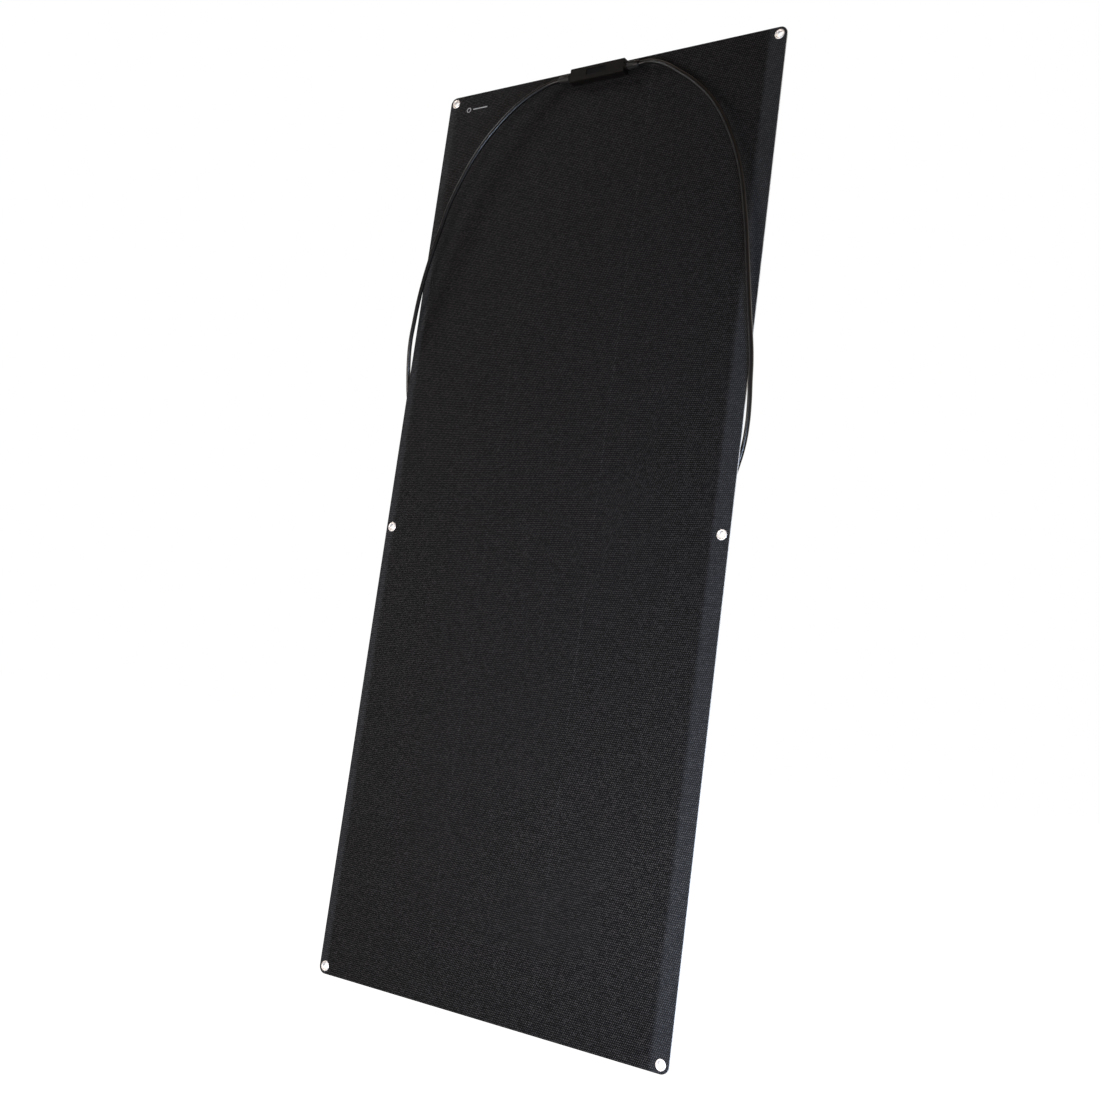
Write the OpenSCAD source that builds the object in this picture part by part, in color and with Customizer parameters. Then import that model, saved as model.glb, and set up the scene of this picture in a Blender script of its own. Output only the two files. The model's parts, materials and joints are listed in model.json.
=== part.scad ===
// Flexible solar panel with a front junction box and two connector leads.
//
// The panel stands upright as its eyelets hold it: X to the right, Z up, and
// the sunny side towards -Y. The back of the board is the plane y = 0, and the
// origin is the centre of the four corner eyelets.
//
// Parts that lie in the laminate are placed by their height in front of the
// back plane, so a height h is y = -h.

/* [Panel] */
// Width of the panel
panel_w = 540; // [520:1:541]
// Height of the panel
panel_h = 1265; // [1200:5:1400]
// Radius of the corners
corner_r = 10; // [9:1:14]
// Thickness of the glass fibre board at the back
board_t = 1.3; // [1:0.1:2]
// Thickness of the encapsulant behind the cells
rear_encapsulant_t = 0.35; // [0.3:0.05:0.5]
// Thickness of the encapsulant around and over the cells
front_encapsulant_t = 0.55; // [0.5:0.05:0.8]
// Thickness of the embossed film on the sunny side
film_t = 0.3; // [0.1:0.05:0.4]

/* [Cells] */
// Width of a cell strip
strip_w = 161.7; // [156:0.1:162]
// Height of a cell strip, a fifth of a wafer
strip_h = 32.3; // [26:0.1:33]
// Thickness of a cell strip
strip_t = 0.18; // [0.15:0.01:0.2]
// Length over which one strip laps the next
strip_lap = 1.3; // [1:0.1:2]
// Distance from the bottom edge to the lowest strip
string_bottom = 20; // [18:1:30]
// Least distance from the top strip to the top edge
string_top_margin = 34.5; // [34.5:0.5:60]
// Centre line of the gap between the left and middle strings
left_gap_x = -90; // [-92:0.5:-86]
// Centre line of the gap between the middle and right strings
right_gap_x = 77.5; // [76:0.5:80]
// Width of the copper ribbons
ribbon_w = 5; // [3:0.5:6]

/* [Eyelets] */
// Distance from the panel's edges to the eyelets' centres
eyelet_inset = 10; // [10:1:12]
// Drop of the middle pair below the middle of the panel
middle_eyelet_drop = 18; // [0:1:30]
// Radius of the hole
eyelet_hole_r = 4.5; // [4:0.25:5]
// Radius of the rolled flange
eyelet_flange_r = 6.75; // [6.25:0.25:8.5]

/* [Junction box] */
// Length of the box
box_l = 88; // [80:1:100]
// Height of the box
box_h = 20; // [19:0.5:24]
// Depth of the box with its pad and lid
box_d = 12; // [12:0.5:14]
// Centre of the box, to the right of the panel's centre
box_x = -5; // [-10:1:10]
// Distance from the panel's top edge to the box's centre line
box_drop = 12.5; // [12:0.5:20]

/* [Leads] */
// Diameter of the cable
cable_d = 6; // [6:0.5:6.5]
// Diameter of the stranded copper in the cable
core_d = 2.6; // [2.2:0.1:3]

/* [Hidden] */
$fn = 64;
fit = 0.05;
gap = 0.2;

// Layers of the laminate, as heights in front of the back plane
cell_level = board_t + rear_encapsulant_t;
film_level = cell_level + front_encapsulant_t;
face_level = film_level + film_t;

// Eyelet centres as [x, z]
eyelet_x = panel_w / 2 - eyelet_inset;
eyelet_z = panel_h / 2 - eyelet_inset;
eyelet_centres = [for (x = [-eyelet_x, eyelet_x])
                  for (z = [eyelet_z, -middle_eyelet_drop, -eyelet_z]) [x, z]];
barrel_r = eyelet_hole_r + 0.5;
washer_t = 0.8;

// Cell strings: the left edge of each, their bottom and their top
strip_pitch = strip_h - strip_lap;
strips = floor((panel_h - string_bottom - string_top_margin - strip_lap) / strip_pitch);
strip_step = strip_t + 0.02;
strip_tilt = atan(strip_step / strip_pitch);
string_edge = 2.25;
left_string_x = left_gap_x - string_edge - strip_w;
middle_string_x = (left_gap_x + right_gap_x - strip_w) / 2;
right_string_x = right_gap_x + 3.5;
string_z = -panel_h / 2 + string_bottom;
string_h = (strips - 1) * strip_pitch + strip_h;
string_top = string_z + string_h;

// Copper ribbons
ribbon_t = 0.25;
return_x = right_string_x + strip_w + 2;
top_bus_z = string_top + 0.4;
bottom_bus_z = string_z - 0.4 - ribbon_w;
return_top_z = top_bus_z + ribbon_w + 2;
tab_offset = 19.95;
tab_z = panel_h / 2 - box_drop - ribbon_w / 2;

// Junction box, with the gland axis and the faces as heights
box_z = panel_h / 2 - box_drop;
pad_t = 0.5;
lid_t = 2.2;
wall = 2.4;
floor_t = 1.2;
base_level = face_level + pad_t;
rim_level = face_level + box_d - lid_t;
lid_level = face_level + box_d;
gland_level = 8.5;
seal_ring_w = 1;
groove = 0.5;
block_l = 9;
block_w = 7;
block_x = 25;

// Gland: distances out from the box's end wall
shoulder_end = 3;
stub_r = 4.8;
stub_end = 12;
nut_start = 3.4;
nut_r = 5.8;
nut_end = 20;
grip_end = 14;
mouth_r = cable_d / 2 + 0.35;
seal_seat = 6.5;

// Leads: each route runs from inside the gland to inside its connector. A
// point is [to the right of the box's centre, y, above the box's centre].
cable_sides = 10;
left_route = from_box([
    [-45, -8.5, 0], [-64, -8.5, 0], [-80, -10, -3], [-98, -13, -11], [-119, -16, -24],
    [-140, -18, -41], [-158, -19, -59], [-175, -20, -79], [-190, -20, -100], [-203, -20, -123],
    [-215, -20, -148], [-225, -20, -173], [-233, -19, -199], [-240, -19, -225], [-247, -18, -251],
    [-253, -17, -277], [-259, -15, -307], [-264, -12, -337], [-269, -8, -366], [-273, -1, -393],
    [-276, 7, -417], [-277, 13, -437], [-276, 19, -458], [-273, 22, -480], [-269, 23, -502],
    [-264, 23, -525], [-260, 23, -549], [-257, 23, -573], [-255, 23, -598], [-255, 23, -623],
    [-255, 23, -648], [-255, 23, -673], [-255, 23, -698], [-255, 23, -723], [-255, 23, -748],
    [-255, 23, -773], [-255, 23, -793]]);
right_route = from_box([
    [45, -8.5, 0], [64, -8.5, 0], [78, -9, 0], [94, -11, -5], [113, -14, -15], [133, -16, -29],
    [151, -17, -42], [167, -18, -56], [182, -19, -71], [196, -20, -88], [208, -20, -106],
    [219, -20, -126], [228, -20, -145], [236, -20, -165], [243, -20, -186], [248, -19, -207],
    [253, -19, -231], [258, -18, -258], [262, -17, -286], [266, -16, -314], [270, -15, -342],
    [274, -14, -370], [278, -12, -398], [281, -10, -426], [282, -8, -452], [282, -4, -478],
    [280, 1, -503], [275, 7, -528], [267, 13, -551], [258, 19, -573], [249, 22, -595],
    [244, 23, -618], [241, 23, -643], [241, 23, -668], [241, 23, -693], [241, 23, -718],
    [241, 23, -743], [241, 23, -768], [241, 23, -784]]);

// Connectors: distances down from the top of the cap nut
left_top = last_point(left_route) + [0, 0, 18];
right_top = last_point(right_route) + [0, 0, 18];
cap_end = 22;
cap_r = 8.8;
neck_r = 7;
neck_start = 8.5;
collar_end = 27;
shell_r = 8;
shell_end = 42;
sleeve_end = 60;
sleeve_bore_r = 6.3;
nose_r = 4.4;
nose_end = 64;
contact_r = 2;
contact_bore_r = 2.05;

// ---------------------------------------------------------------- helpers

function from_box(points) = [for (p = points) p + [box_x, 0, box_z]];
function last_point(route) = route[len(route) - 1];
function unit(v) = v / norm(v);
function along(route, i) =
    unit(route[min(i + 1, len(route) - 1)] - route[max(i - 1, 0)]);

// A frame that is carried along the route without twisting: each side vector
// is the one before it, turned square to the new direction.
function sides(route, i, side) =
    let (t = along(route, i), s = unit(side - (side * t) * t))
    i == len(route) - 1 ? [s] : concat([s], sides(route, i + 1, s));

module tube(route, d) {
    n = len(route);
    side = sides(route, 0, [0, 1, 0]);
    rings = [for (i = [0 : n - 1])
             let (t = along(route, i), s = side[i], u = cross(t, s))
             for (k = [0 : cable_sides - 1])
             route[i] + d / 2 * (cos(360 * k / cable_sides) * s + sin(360 * k / cable_sides) * u)];
    walls = [for (i = [0 : n - 2]) for (k = [0 : cable_sides - 1])
             let (a = i * cable_sides, b = a + cable_sides, m = (k + 1) % cable_sides)
             [a + k, b + k, b + m, a + m]];
    start = [for (k = [0 : cable_sides - 1]) k];
    end = [for (k = [cable_sides - 1 : -1 : 0]) (n - 1) * cable_sides + k];
    polyhedron(rings, concat(walls, [start, end]));
}

// Turns a shape drawn in X and Z into a plate between two heights.
module plate(low, high) {
    translate([0, -low, 0]) rotate([90, 0, 0]) linear_extrude(high - low) children();
}

// A box from its low corner in X and Z, its size there, and two heights.
module block(x, z, w, h, low, high) {
    translate([x, -high, z]) cube([w, high - low, h]);
}

// A round bar along the Y axis between two heights.
module post(x, z, r, low, high) {
    translate([x, -low, z]) rotate([90, 0, 0]) cylinder(r = r, h = high - low);
}

module panel_outline() {
    w = panel_w / 2;
    h = panel_h / 2;
    square([panel_w - 2 * corner_r, panel_h], center = true);
    square([panel_w, panel_h - 2 * corner_r], center = true);
    for (x = [corner_r - w, w - corner_r]) for (z = [corner_r - h, h - corner_r])
        translate([x, z]) circle(r = corner_r);
}

module panel_layer(low, high) {
    plate(low, high) difference() {
        panel_outline();
        for (c = eyelet_centres) translate(c) circle(r = barrel_r + fit);
    }
}

// ---------------------------------------------------------------- laminate

module back_board() {
    color("gainsboro") panel_layer(0, board_t);
}

module rear_encapsulant() {
    color("whitesmoke") panel_layer(board_t, cell_level);
}

// Shingled strips: each leans forward so that its top laps the next one.
module cell_string(x) {
    for (i = [0 : strips - 1])
        translate([x, -cell_level - 0.01, string_z + i * strip_pitch])
            rotate([strip_tilt, 0, 0]) translate([0, -strip_t, 0]) cube([strip_w, strip_t, strip_h]);
}

module cell_string_left() {
    color("midnightblue") cell_string(left_string_x);
}

module cell_string_middle() {
    color("midnightblue") cell_string(middle_string_x);
}

module cell_string_right() {
    color("midnightblue") cell_string(right_string_x);
}

module ribbon(x, z, w, h, margin = 0) {
    block(x - margin, z - margin, w + 2 * margin, h + 2 * margin,
          cell_level, cell_level + ribbon_t + margin);
}

// The tab turns forward and runs into the box, beside its terminal.
module ribbon_tab(x, low, margin = 0) {
    ribbon(x, low, ribbon_w, tab_z + ribbon_t - low, margin);
    block(x - margin, tab_z - margin, ribbon_w + 2 * margin, ribbon_t + 2 * margin,
          cell_level, gland_level);
}

module top_bus(margin = 0) {
    ribbon(left_string_x, top_bus_z, right_string_x + strip_w - left_string_x, ribbon_w, margin);
    ribbon_tab(box_x - tab_offset - ribbon_w, top_bus_z, margin);
}

module bottom_bus(margin = 0) {
    ribbon(left_string_x, bottom_bus_z, return_x - 1 - left_string_x, ribbon_w, margin);
}

module return_run(margin = 0) {
    right = box_x + tab_offset;
    ribbon(return_x, bottom_bus_z, ribbon_w, return_top_z + ribbon_w - bottom_bus_z, margin);
    ribbon(right, return_top_z, return_x + ribbon_w - right, ribbon_w, margin);
    ribbon_tab(right, return_top_z, margin);
}

// A short link joins the bottom bus to the return ribbon.
module bottom_link(margin = 0) {
    ribbon(return_x - 1, bottom_bus_z, 1, ribbon_w, margin);
}

module top_bus_ribbon() {
    color("silver") top_bus();
}

module bottom_bus_ribbon() {
    color("silver") bottom_bus();
}

module return_ribbon() {
    color("silver") union() {
        return_run();
        bottom_link();
    }
}

module front_encapsulant() {
    margin = 0.05;
    pocket = strip_t + strip_step + margin;
    color("dimgray") difference() {
        panel_layer(cell_level, film_level);
        for (x = [left_string_x, middle_string_x, right_string_x])
            block(x - margin, string_z - margin, strip_w + 2 * margin, string_h + 2 * margin,
                  cell_level, cell_level + pocket);
        top_bus(margin);
        bottom_bus(margin);
        return_run(margin);
        bottom_link(margin);
    }
}

module front_film() {
    margin = 0.05;
    color([0.13, 0.13, 0.14]) difference() {
        panel_layer(film_level, face_level);
        for (x = [box_x - tab_offset - ribbon_w, box_x + tab_offset])
            ribbon_tab(x, tab_z, margin);
    }
}

// ---------------------------------------------------------------- eyelets

// The barrel, its rolled flange on the front, and its curl behind the washer.
module eyelet_shell() {
    flange_mid = (eyelet_hole_r + eyelet_flange_r) / 2;
    flange_roll = 1.35;
    flange_sink = 0.45;
    curl_roll = 0.95;
    rotate([90, 0, 0]) rotate_extrude() {
        translate([eyelet_hole_r, -washer_t])
            square([barrel_r - eyelet_hole_r, washer_t + face_level]);
        intersection() {
            translate([flange_mid, face_level - flange_sink]) circle(r = flange_roll);
            translate([eyelet_hole_r, face_level])
                square([eyelet_flange_r - eyelet_hole_r, flange_roll]);
        }
        intersection() {
            translate([eyelet_hole_r + curl_roll, -washer_t]) circle(r = curl_roll);
            translate([eyelet_hole_r, -washer_t - 2]) square([2 * curl_roll, 2]);
        }
    }
}

module eyelet_washer() {
    rotate([90, 0, 0]) rotate_extrude()
        translate([barrel_r + fit, -washer_t])
            square([eyelet_flange_r - barrel_r - fit, washer_t]);
}

module eyelet_shells() {
    color("silver") for (c = eyelet_centres) translate([c[0], 0, c[1]]) eyelet_shell();
}

module eyelet_washers() {
    color("silver") for (c = eyelet_centres) translate([c[0], 0, c[1]]) eyelet_washer();
}

// ---------------------------------------------------------------- junction box

// A rectangle about the box's centre, drawn in X and Z.
module box_rect(inset, r = 0) {
    w = box_l - 2 * inset;
    h = box_h - 2 * inset;
    translate([box_x, box_z]) {
        square([w - 2 * r, h], center = true);
        if (r > 0) {
            square([w, h - 2 * r], center = true);
            for (x = [r - w / 2, w / 2 - r]) for (z = [r - h / 2, h / 2 - r])
                translate([x, z]) circle(r = r);
        }
    }
}

// Puts a shape drawn out along +X from the box's end wall at one end.
// side is -1 for the left end and 1 for the right end.
module at_end(side) {
    translate([box_x + side * box_l / 2, -gland_level, box_z]) mirror([side < 0 ? 1 : 0, 0, 0])
        children();
}

// A round shape about the gland's axis, from its profile [outwards, radius].
module turned(profile) {
    rotate([0, 90, 0]) rotate_extrude() polygon([for (p = profile) [p[1], p[0]]]);
}

// A ring about the gland's axis between two distances out.
module ring(inner, outer, from, to) {
    turned([[from, inner], [from, outer], [to, outer], [to, inner]]);
}

module tab_slots(low, high) {
    margin = 0.5;
    for (x = [box_x - tab_offset - ribbon_w, box_x + tab_offset])
        block(x - margin, tab_z - margin, ribbon_w + 2 * margin, ribbon_t + 2 * margin, low, high);
}

module box_pad() {
    color("gray") difference() {
        plate(face_level, base_level) box_rect(1);
        tab_slots(face_level - 1, base_level + 1);
    }
}

module seal_groove() {
    difference() {
        box_rect((wall - seal_ring_w) / 2);
        box_rect((wall + seal_ring_w) / 2);
    }
}

module box_base() {
    color([0.2, 0.19, 0.18]) difference() {
        union() {
            plate(base_level, rim_level) box_rect(0, 1.5);
            for (side = [-1, 1]) at_end(side) {
                ring(0, 3.7, -1, 1);
                ring(0, 5.6, 0, shoulder_end);
                ring(0, stub_r, 1, stub_end);
            }
        }
        plate(base_level + floor_t, rim_level + 1) box_rect(wall);
        plate(rim_level - groove, rim_level + 1) seal_groove();
        tab_slots(base_level - 1, base_level + floor_t + 1);
        for (side = [-1, 1]) at_end(side) {
            ring(0, core_d / 2 + 0.5, -wall - 1, 1);
            ring(0, cable_d / 2 + gap, 0.5, seal_seat + 1);
            ring(0, 4, seal_seat, stub_end + 1);
        }
    }
}

module box_seal() {
    color("black") plate(rim_level - groove, rim_level + 0.4) seal_groove();
}

// The lid has a plain sunk field, a skirt inside the walls and a seal groove.
module box_lid() {
    skirt_t = 1;
    skirt_h = 2;
    field_l = 32;
    field_h = 8.5;
    field_x = -1;
    field_z = 1;
    edge = 0.6;
    color([0.22, 0.21, 0.2]) difference() {
        union() {
            plate(rim_level, lid_level - edge) box_rect(0.1, 1.4);
            plate(lid_level - edge, lid_level - edge / 2) box_rect(edge / 3, 1.3);
            plate(lid_level - edge / 2, lid_level) box_rect(edge, 1);
            plate(rim_level - skirt_h, rim_level) difference() {
                box_rect(wall + gap);
                box_rect(wall + gap + skirt_t);
            }
        }
        plate(rim_level - 1, rim_level + 0.45) seal_groove();
        block(box_x + field_x - field_l / 2, box_z + field_z - field_h / 2, field_l, field_h,
              lid_level - 0.5, lid_level + 1);
    }
}

// A brass block with a bore for the wire, one for the diode's leg and a tapped hole.
module terminal(side) {
    at_end(side) translate([-box_l / 2 + block_x, 0, 0]) difference() {
        translate([0, gland_level - rim_level + 1, -block_w / 2])
            cube([block_l, rim_level - 1 - base_level - floor_t, block_w]);
        rotate([0, 90, 0]) translate([0, 0, 2]) cylinder(r = core_d / 2 + fit, h = block_l);
        rotate([90, 0, 0]) translate([block_l / 2, 0, 0]) cylinder(r = 1.5 + fit, h = 20);
        rotate([0, 90, 0]) translate([1.5, 0, -1]) cylinder(r = 0.65, h = 2.5);
    }
}

module negative_terminal() {
    color("goldenrod") terminal(-1);
}

module positive_terminal() {
    color("goldenrod") terminal(1);
}

// Clamp screws with a slotted end, over the bare wires.
module terminal_screws() {
    length = 2.2;
    color("silver") for (side = [-1, 1])
        at_end(side) translate([-box_l / 2 + block_x + block_l / 2, -core_d / 2 - fit, 0])
            difference() {
                rotate([90, 0, 0]) cylinder(r = 1.5, h = length);
                translate([-2, -length - 0.1, -0.25]) cube([4, 0.7, 0.5]);
            }
}

module bypass_diode() {
    reach = 2 * block_x + 2;
    color([0.15, 0.15, 0.15]) translate([box_x, -gland_level, box_z - 1.5]) rotate([0, 90, 0]) {
        cylinder(r = 2.6, h = 9.5, center = true);
        cylinder(r = 0.6, h = reach, center = true);
    }
}

// ---------------------------------------------------------------- glands

module gland_seal(side) {
    at_end(side) ring(cable_d / 2 + fit, 4 - fit, seal_seat + 0.1, stub_end + 0.4);
}

module left_gland_seal() {
    color("black") gland_seal(-1);
}

module right_gland_seal() {
    color("black") gland_seal(1);
}

// A cap nut with grip ribs and a domed nose that guides the cable.
module gland_nut(side) {
    ribs = 10;
    nose_steps = 6;
    nose_r = 4.4;
    nose = [for (i = [0 : nose_steps])
            let (a = 90 * i / nose_steps)
            [grip_end + (nut_end - grip_end) * sin(a), nose_r + (nut_r - 0.4 - nose_r) * cos(a)]];
    at_end(side) difference() {
        union() {
            turned(concat([[nut_start, 0], [nut_start, nut_r - 0.4]], nose, [[nut_end, 0]]));
            for (i = [0 : ribs - 1]) rotate([360 * i / ribs, 0, 0])
                translate([nut_start + 0.6, nut_r - 1, 0]) rotate([0, 90, 0])
                    cylinder(r = 1, h = grip_end - nut_start - 0.8, $fn = 24);
        }
        ring(0, stub_r + fit, nut_start - 1, stub_end + 0.8);
        ring(0, mouth_r, stub_end, nut_end + 1);
    }
}

module left_gland_nut() {
    color([0.3, 0.3, 0.31]) gland_nut(-1);
}

module right_gland_nut() {
    color([0.3, 0.3, 0.31]) gland_nut(1);
}

// ---------------------------------------------------------------- leads

module left_cable() {
    color("black") tube(left_route, cable_d);
}

module right_cable() {
    color("black") tube(right_route, cable_d);
}

// The bare ends of the copper: one in the box's terminal, one in the contact.
module cable_core(side, top) {
    color("peru") {
        at_end(side) translate([0.5, 0, 0]) rotate([0, -90, 0])
            cylinder(r = core_d / 2, h = box_l / 2 - block_x - block_l + 5.5);
        translate(top - [0, 0, 24]) cylinder(r = core_d / 2, h = 6);
    }
}

module left_cable_core() {
    cable_core(-1, left_top);
}

module right_cable_core() {
    cable_core(1, right_top);
}

// ---------------------------------------------------------------- connectors

// A round shape about a connector's axis, from its profile [down, radius].
module hung(top, profile) {
    translate(top) rotate_extrude() polygon([for (p = profile) [p[1], -p[0]]]);
}

module hung_ring(top, inner, outer, from, to) {
    hung(top, [[from, inner], [from, outer], [to, outer], [to, inner]]);
}

// The cap nut that squeezes the seal on the cable.
module cap_nut(top) {
    ribs = 12;
    difference() {
        union() {
            hung(top, [[0, 0], [0, 5], [1, 6], [5, 7.2], [8, 8.2], [cap_end, 8.2], [cap_end, 0]]);
            for (i = [0 : ribs - 1]) translate(top) rotate(360 * i / ribs)
                translate([cap_r - 1, 0, -cap_end + 0.6]) cylinder(r = 1, h = 13, $fn = 24);
        }
        hung_ring(top, 0, mouth_r, -1, 8);
        hung_ring(top, 0, neck_r + fit, 7.5, cap_end + 1);
    }
}

// The half of a connector's body that both kinds share.
module connector_neck(top) {
    hung_ring(top, 0, neck_r, neck_start, cap_end + 1);
    hung_ring(top, 0, cap_r, cap_end + 0.4, collar_end);
    hung_ring(top, 0, shell_r, collar_end - 1, shell_end);
}

module neck_bore(top) {
    hung_ring(top, 0, 5.7, neck_start - 1, 17.5);
    hung_ring(top, 0, core_d / 2 + 1.3, 17, 30);
}

module connector_seal(top) {
    hung_ring(top, cable_d / 2 + fit, 5.6, neck_start + 0.3, 17);
}

module plug_body() {
    arm_w = 4;
    color([0.1, 0.1, 0.1]) difference() {
        union() {
            connector_neck(left_top);
            hung_ring(left_top, 0, shell_r, shell_end - 1, sleeve_end);
            for (side = [-1, 1]) translate(left_top - [0, 0, sleeve_end]) {
                translate([side * 8.2 - 0.9, -arm_w / 2, -9]) cube([1.8, arm_w, 24]);
                translate([side * 7.6 - 0.9, -arm_w / 2, -9]) cube([1.8, arm_w, 3]);
            }
        }
        neck_bore(left_top);
        hung_ring(left_top, 0, contact_r + 0.4, 29, shell_end + 1);
        hung_ring(left_top, 0, sleeve_bore_r, shell_end, sleeve_end + 1);
    }
}

module plug_seal() {
    color("dimgray") connector_seal(left_top);
}

module plug_nut() {
    color([0.12, 0.12, 0.12]) cap_nut(left_top);
}

// The turned pin with its crimp sleeve around the bare copper.
module plug_pin() {
    color("silver") {
        hung_ring(left_top, core_d / 2 + fit, 2.3, 18.2, 26);
        hung(left_top, [[25, 0], [25, 2.3], [28, 2.3], [28, contact_r], [54, contact_r],
                        [56, 1.2], [56, 0]]);
    }
}

module socket_body() {
    color([0.1, 0.1, 0.1]) difference() {
        union() {
            connector_neck(right_top);
            hung_ring(right_top, 0, nose_r, shell_end - 1, nose_end);
        }
        neck_bore(right_top);
        hung_ring(right_top, 0, 2.8, 29, nose_end + 1);
        for (side = [-1, 1]) translate(right_top - [0, 0, shell_end])
            translate([side * 7.4 - 1, -2.2, -1]) cube([2, 4.4, 8]);
    }
}

module socket_seal() {
    color("dimgray") connector_seal(right_top);
}

module socket_nut() {
    color([0.12, 0.12, 0.12]) cap_nut(right_top);
}

// The turned socket that takes a 4 mm pin.
module socket_contact() {
    color("silver") {
        hung_ring(right_top, core_d / 2 + fit, 2.3, 18.2, 26);
        hung(right_top, [[25, 0], [25, 2.3], [44, 2.3], [44, 2.7], [62, 2.7],
                         [62, contact_bore_r], [46, contact_bore_r], [46, 0]]);
    }
}

module socket_ring() {
    color("dimgray") translate(right_top - [0, 0, 45]) rotate_extrude()
        translate([nose_r + 0.9, 0]) circle(r = 0.85, $fn = 24);
}

back_board();
rear_encapsulant();
cell_string_left();
cell_string_middle();
cell_string_right();
top_bus_ribbon();
bottom_bus_ribbon();
return_ribbon();
front_encapsulant();
front_film();
eyelet_shells();
eyelet_washers();
box_pad();
box_base();
box_seal();
box_lid();
negative_terminal();
positive_terminal();
terminal_screws();
bypass_diode();
left_gland_seal();
right_gland_seal();
left_gland_nut();
right_gland_nut();
left_cable();
right_cable();
left_cable_core();
right_cable_core();
plug_body();
plug_seal();
plug_nut();
plug_pin();
socket_body();
socket_seal();
socket_nut();
socket_contact();
socket_ring();
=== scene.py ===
import json
import math

import bmesh
import bpy
from mathutils import Matrix, Vector
from mathutils.geometry import delaunay_2d_cdt

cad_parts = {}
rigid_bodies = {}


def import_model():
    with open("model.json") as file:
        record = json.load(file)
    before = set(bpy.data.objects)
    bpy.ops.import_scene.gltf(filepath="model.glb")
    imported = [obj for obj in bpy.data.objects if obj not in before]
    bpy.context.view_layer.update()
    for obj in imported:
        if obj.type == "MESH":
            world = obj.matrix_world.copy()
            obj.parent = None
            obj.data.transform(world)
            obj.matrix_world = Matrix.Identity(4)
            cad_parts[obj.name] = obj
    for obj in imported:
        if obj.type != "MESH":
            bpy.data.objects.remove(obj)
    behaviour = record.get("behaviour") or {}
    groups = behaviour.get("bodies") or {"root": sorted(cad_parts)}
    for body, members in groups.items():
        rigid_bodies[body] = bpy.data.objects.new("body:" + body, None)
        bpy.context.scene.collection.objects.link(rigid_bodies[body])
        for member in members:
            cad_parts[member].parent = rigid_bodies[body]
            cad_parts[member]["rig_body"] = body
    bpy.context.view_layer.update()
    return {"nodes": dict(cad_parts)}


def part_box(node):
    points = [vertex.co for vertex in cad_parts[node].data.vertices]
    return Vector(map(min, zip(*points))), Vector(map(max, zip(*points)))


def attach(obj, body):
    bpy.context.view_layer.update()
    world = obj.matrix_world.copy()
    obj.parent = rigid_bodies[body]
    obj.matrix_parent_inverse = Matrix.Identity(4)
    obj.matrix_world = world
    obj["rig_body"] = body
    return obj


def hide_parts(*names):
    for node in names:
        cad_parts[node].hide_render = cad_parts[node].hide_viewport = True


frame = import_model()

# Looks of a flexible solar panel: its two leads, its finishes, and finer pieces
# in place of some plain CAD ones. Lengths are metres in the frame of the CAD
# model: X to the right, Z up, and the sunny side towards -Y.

MM = 0.001
nodes = frame["nodes"]


# ------------------------------------------------------------------ camera

CAMERA_PLACE = (0.9637, -1.3417, -0.2769)
AZIMUTH = math.radians(35.28)
ELEVATION = math.radians(8.10)
ROLL = math.radians(7.66)
LENS_MM = 42.1
SENSOR_MM = 36


def place_camera():
    """Puts the camera low and to the right, looking a little up, and rolled."""
    data = bpy.data.cameras.new("camera")
    data.sensor_width = SENSOR_MM
    data.lens = LENS_MM
    data.clip_start = 50 * MM
    camera = bpy.data.objects.new("camera", data)
    turned = Matrix.Rotation(AZIMUTH, 4, "Z") @ Matrix.Rotation(math.pi / 2 + ELEVATION, 4, "X")
    rolled = turned @ Matrix.Rotation(ROLL, 4, "Z")
    camera.matrix_world = Matrix.Translation(CAMERA_PLACE) @ rolled
    bpy.context.collection.objects.link(camera)
    bpy.context.scene.camera = camera


place_camera()


# ------------------------------------------------------------------ leads

CABLE_D = 6 * MM

# Each route is (right of the box's centre, Y, above the box's centre) in millimetres. It
# arches over the front, turns round the side edge, and hangs behind the panel.
LEFT_ROUTE = [
    (-45, -8.5, 0), (-64, -8.5, 0), (-80, -10, -3), (-98, -13, -11), (-119, -16, -24),
    (-140, -18, -41), (-158, -19, -59), (-175, -20, -79), (-190, -20, -100),
    (-203, -20, -123), (-215, -20, -148), (-225, -20, -173), (-233, -19, -199),
    (-240, -19, -225), (-247, -18, -251), (-253, -17, -277), (-259, -15, -307),
    (-264, -12, -337), (-269, -8, -366), (-273, -1, -393), (-276, 7, -417),
    (-277, 13, -437), (-276, 19, -458), (-273, 22, -480), (-269, 23, -502),
    (-264, 23, -525), (-260, 23, -549), (-257, 23, -573), (-255, 23, -598),
    (-255, 23, -623), (-255, 23, -793),
]
RIGHT_ROUTE = [
    (45, -8.5, 0), (64, -8.5, 0), (78, -9, 0), (94, -11, -5), (113, -14, -15),
    (133, -16, -29), (151, -17, -42), (167, -18, -56), (182, -19, -71), (196, -20, -88),
    (208, -20, -106), (219, -20, -126), (228, -20, -145), (236, -20, -165),
    (243, -20, -186), (248, -19, -207), (253, -19, -231), (258, -18, -258),
    (262, -17, -286), (266, -16, -314), (270, -15, -342), (274, -14, -370),
    (278, -12, -398), (281, -10, -426), (282, -8, -452), (282, -4, -478), (280, 1, -503),
    (275, 7, -528), (267, 13, -551), (258, 19, -573), (249, 22, -595), (244, 23, -618),
    (241, 23, -643), (241, 23, -668), (241, 23, -784),
]


def box_centre():
    """The junction box's centre in X and Z, at Y 0, from the box round its lid."""
    low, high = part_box("box_lid")
    return Vector(((low.x + high.x) / 2, 0, (low.z + high.z) / 2))


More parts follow.
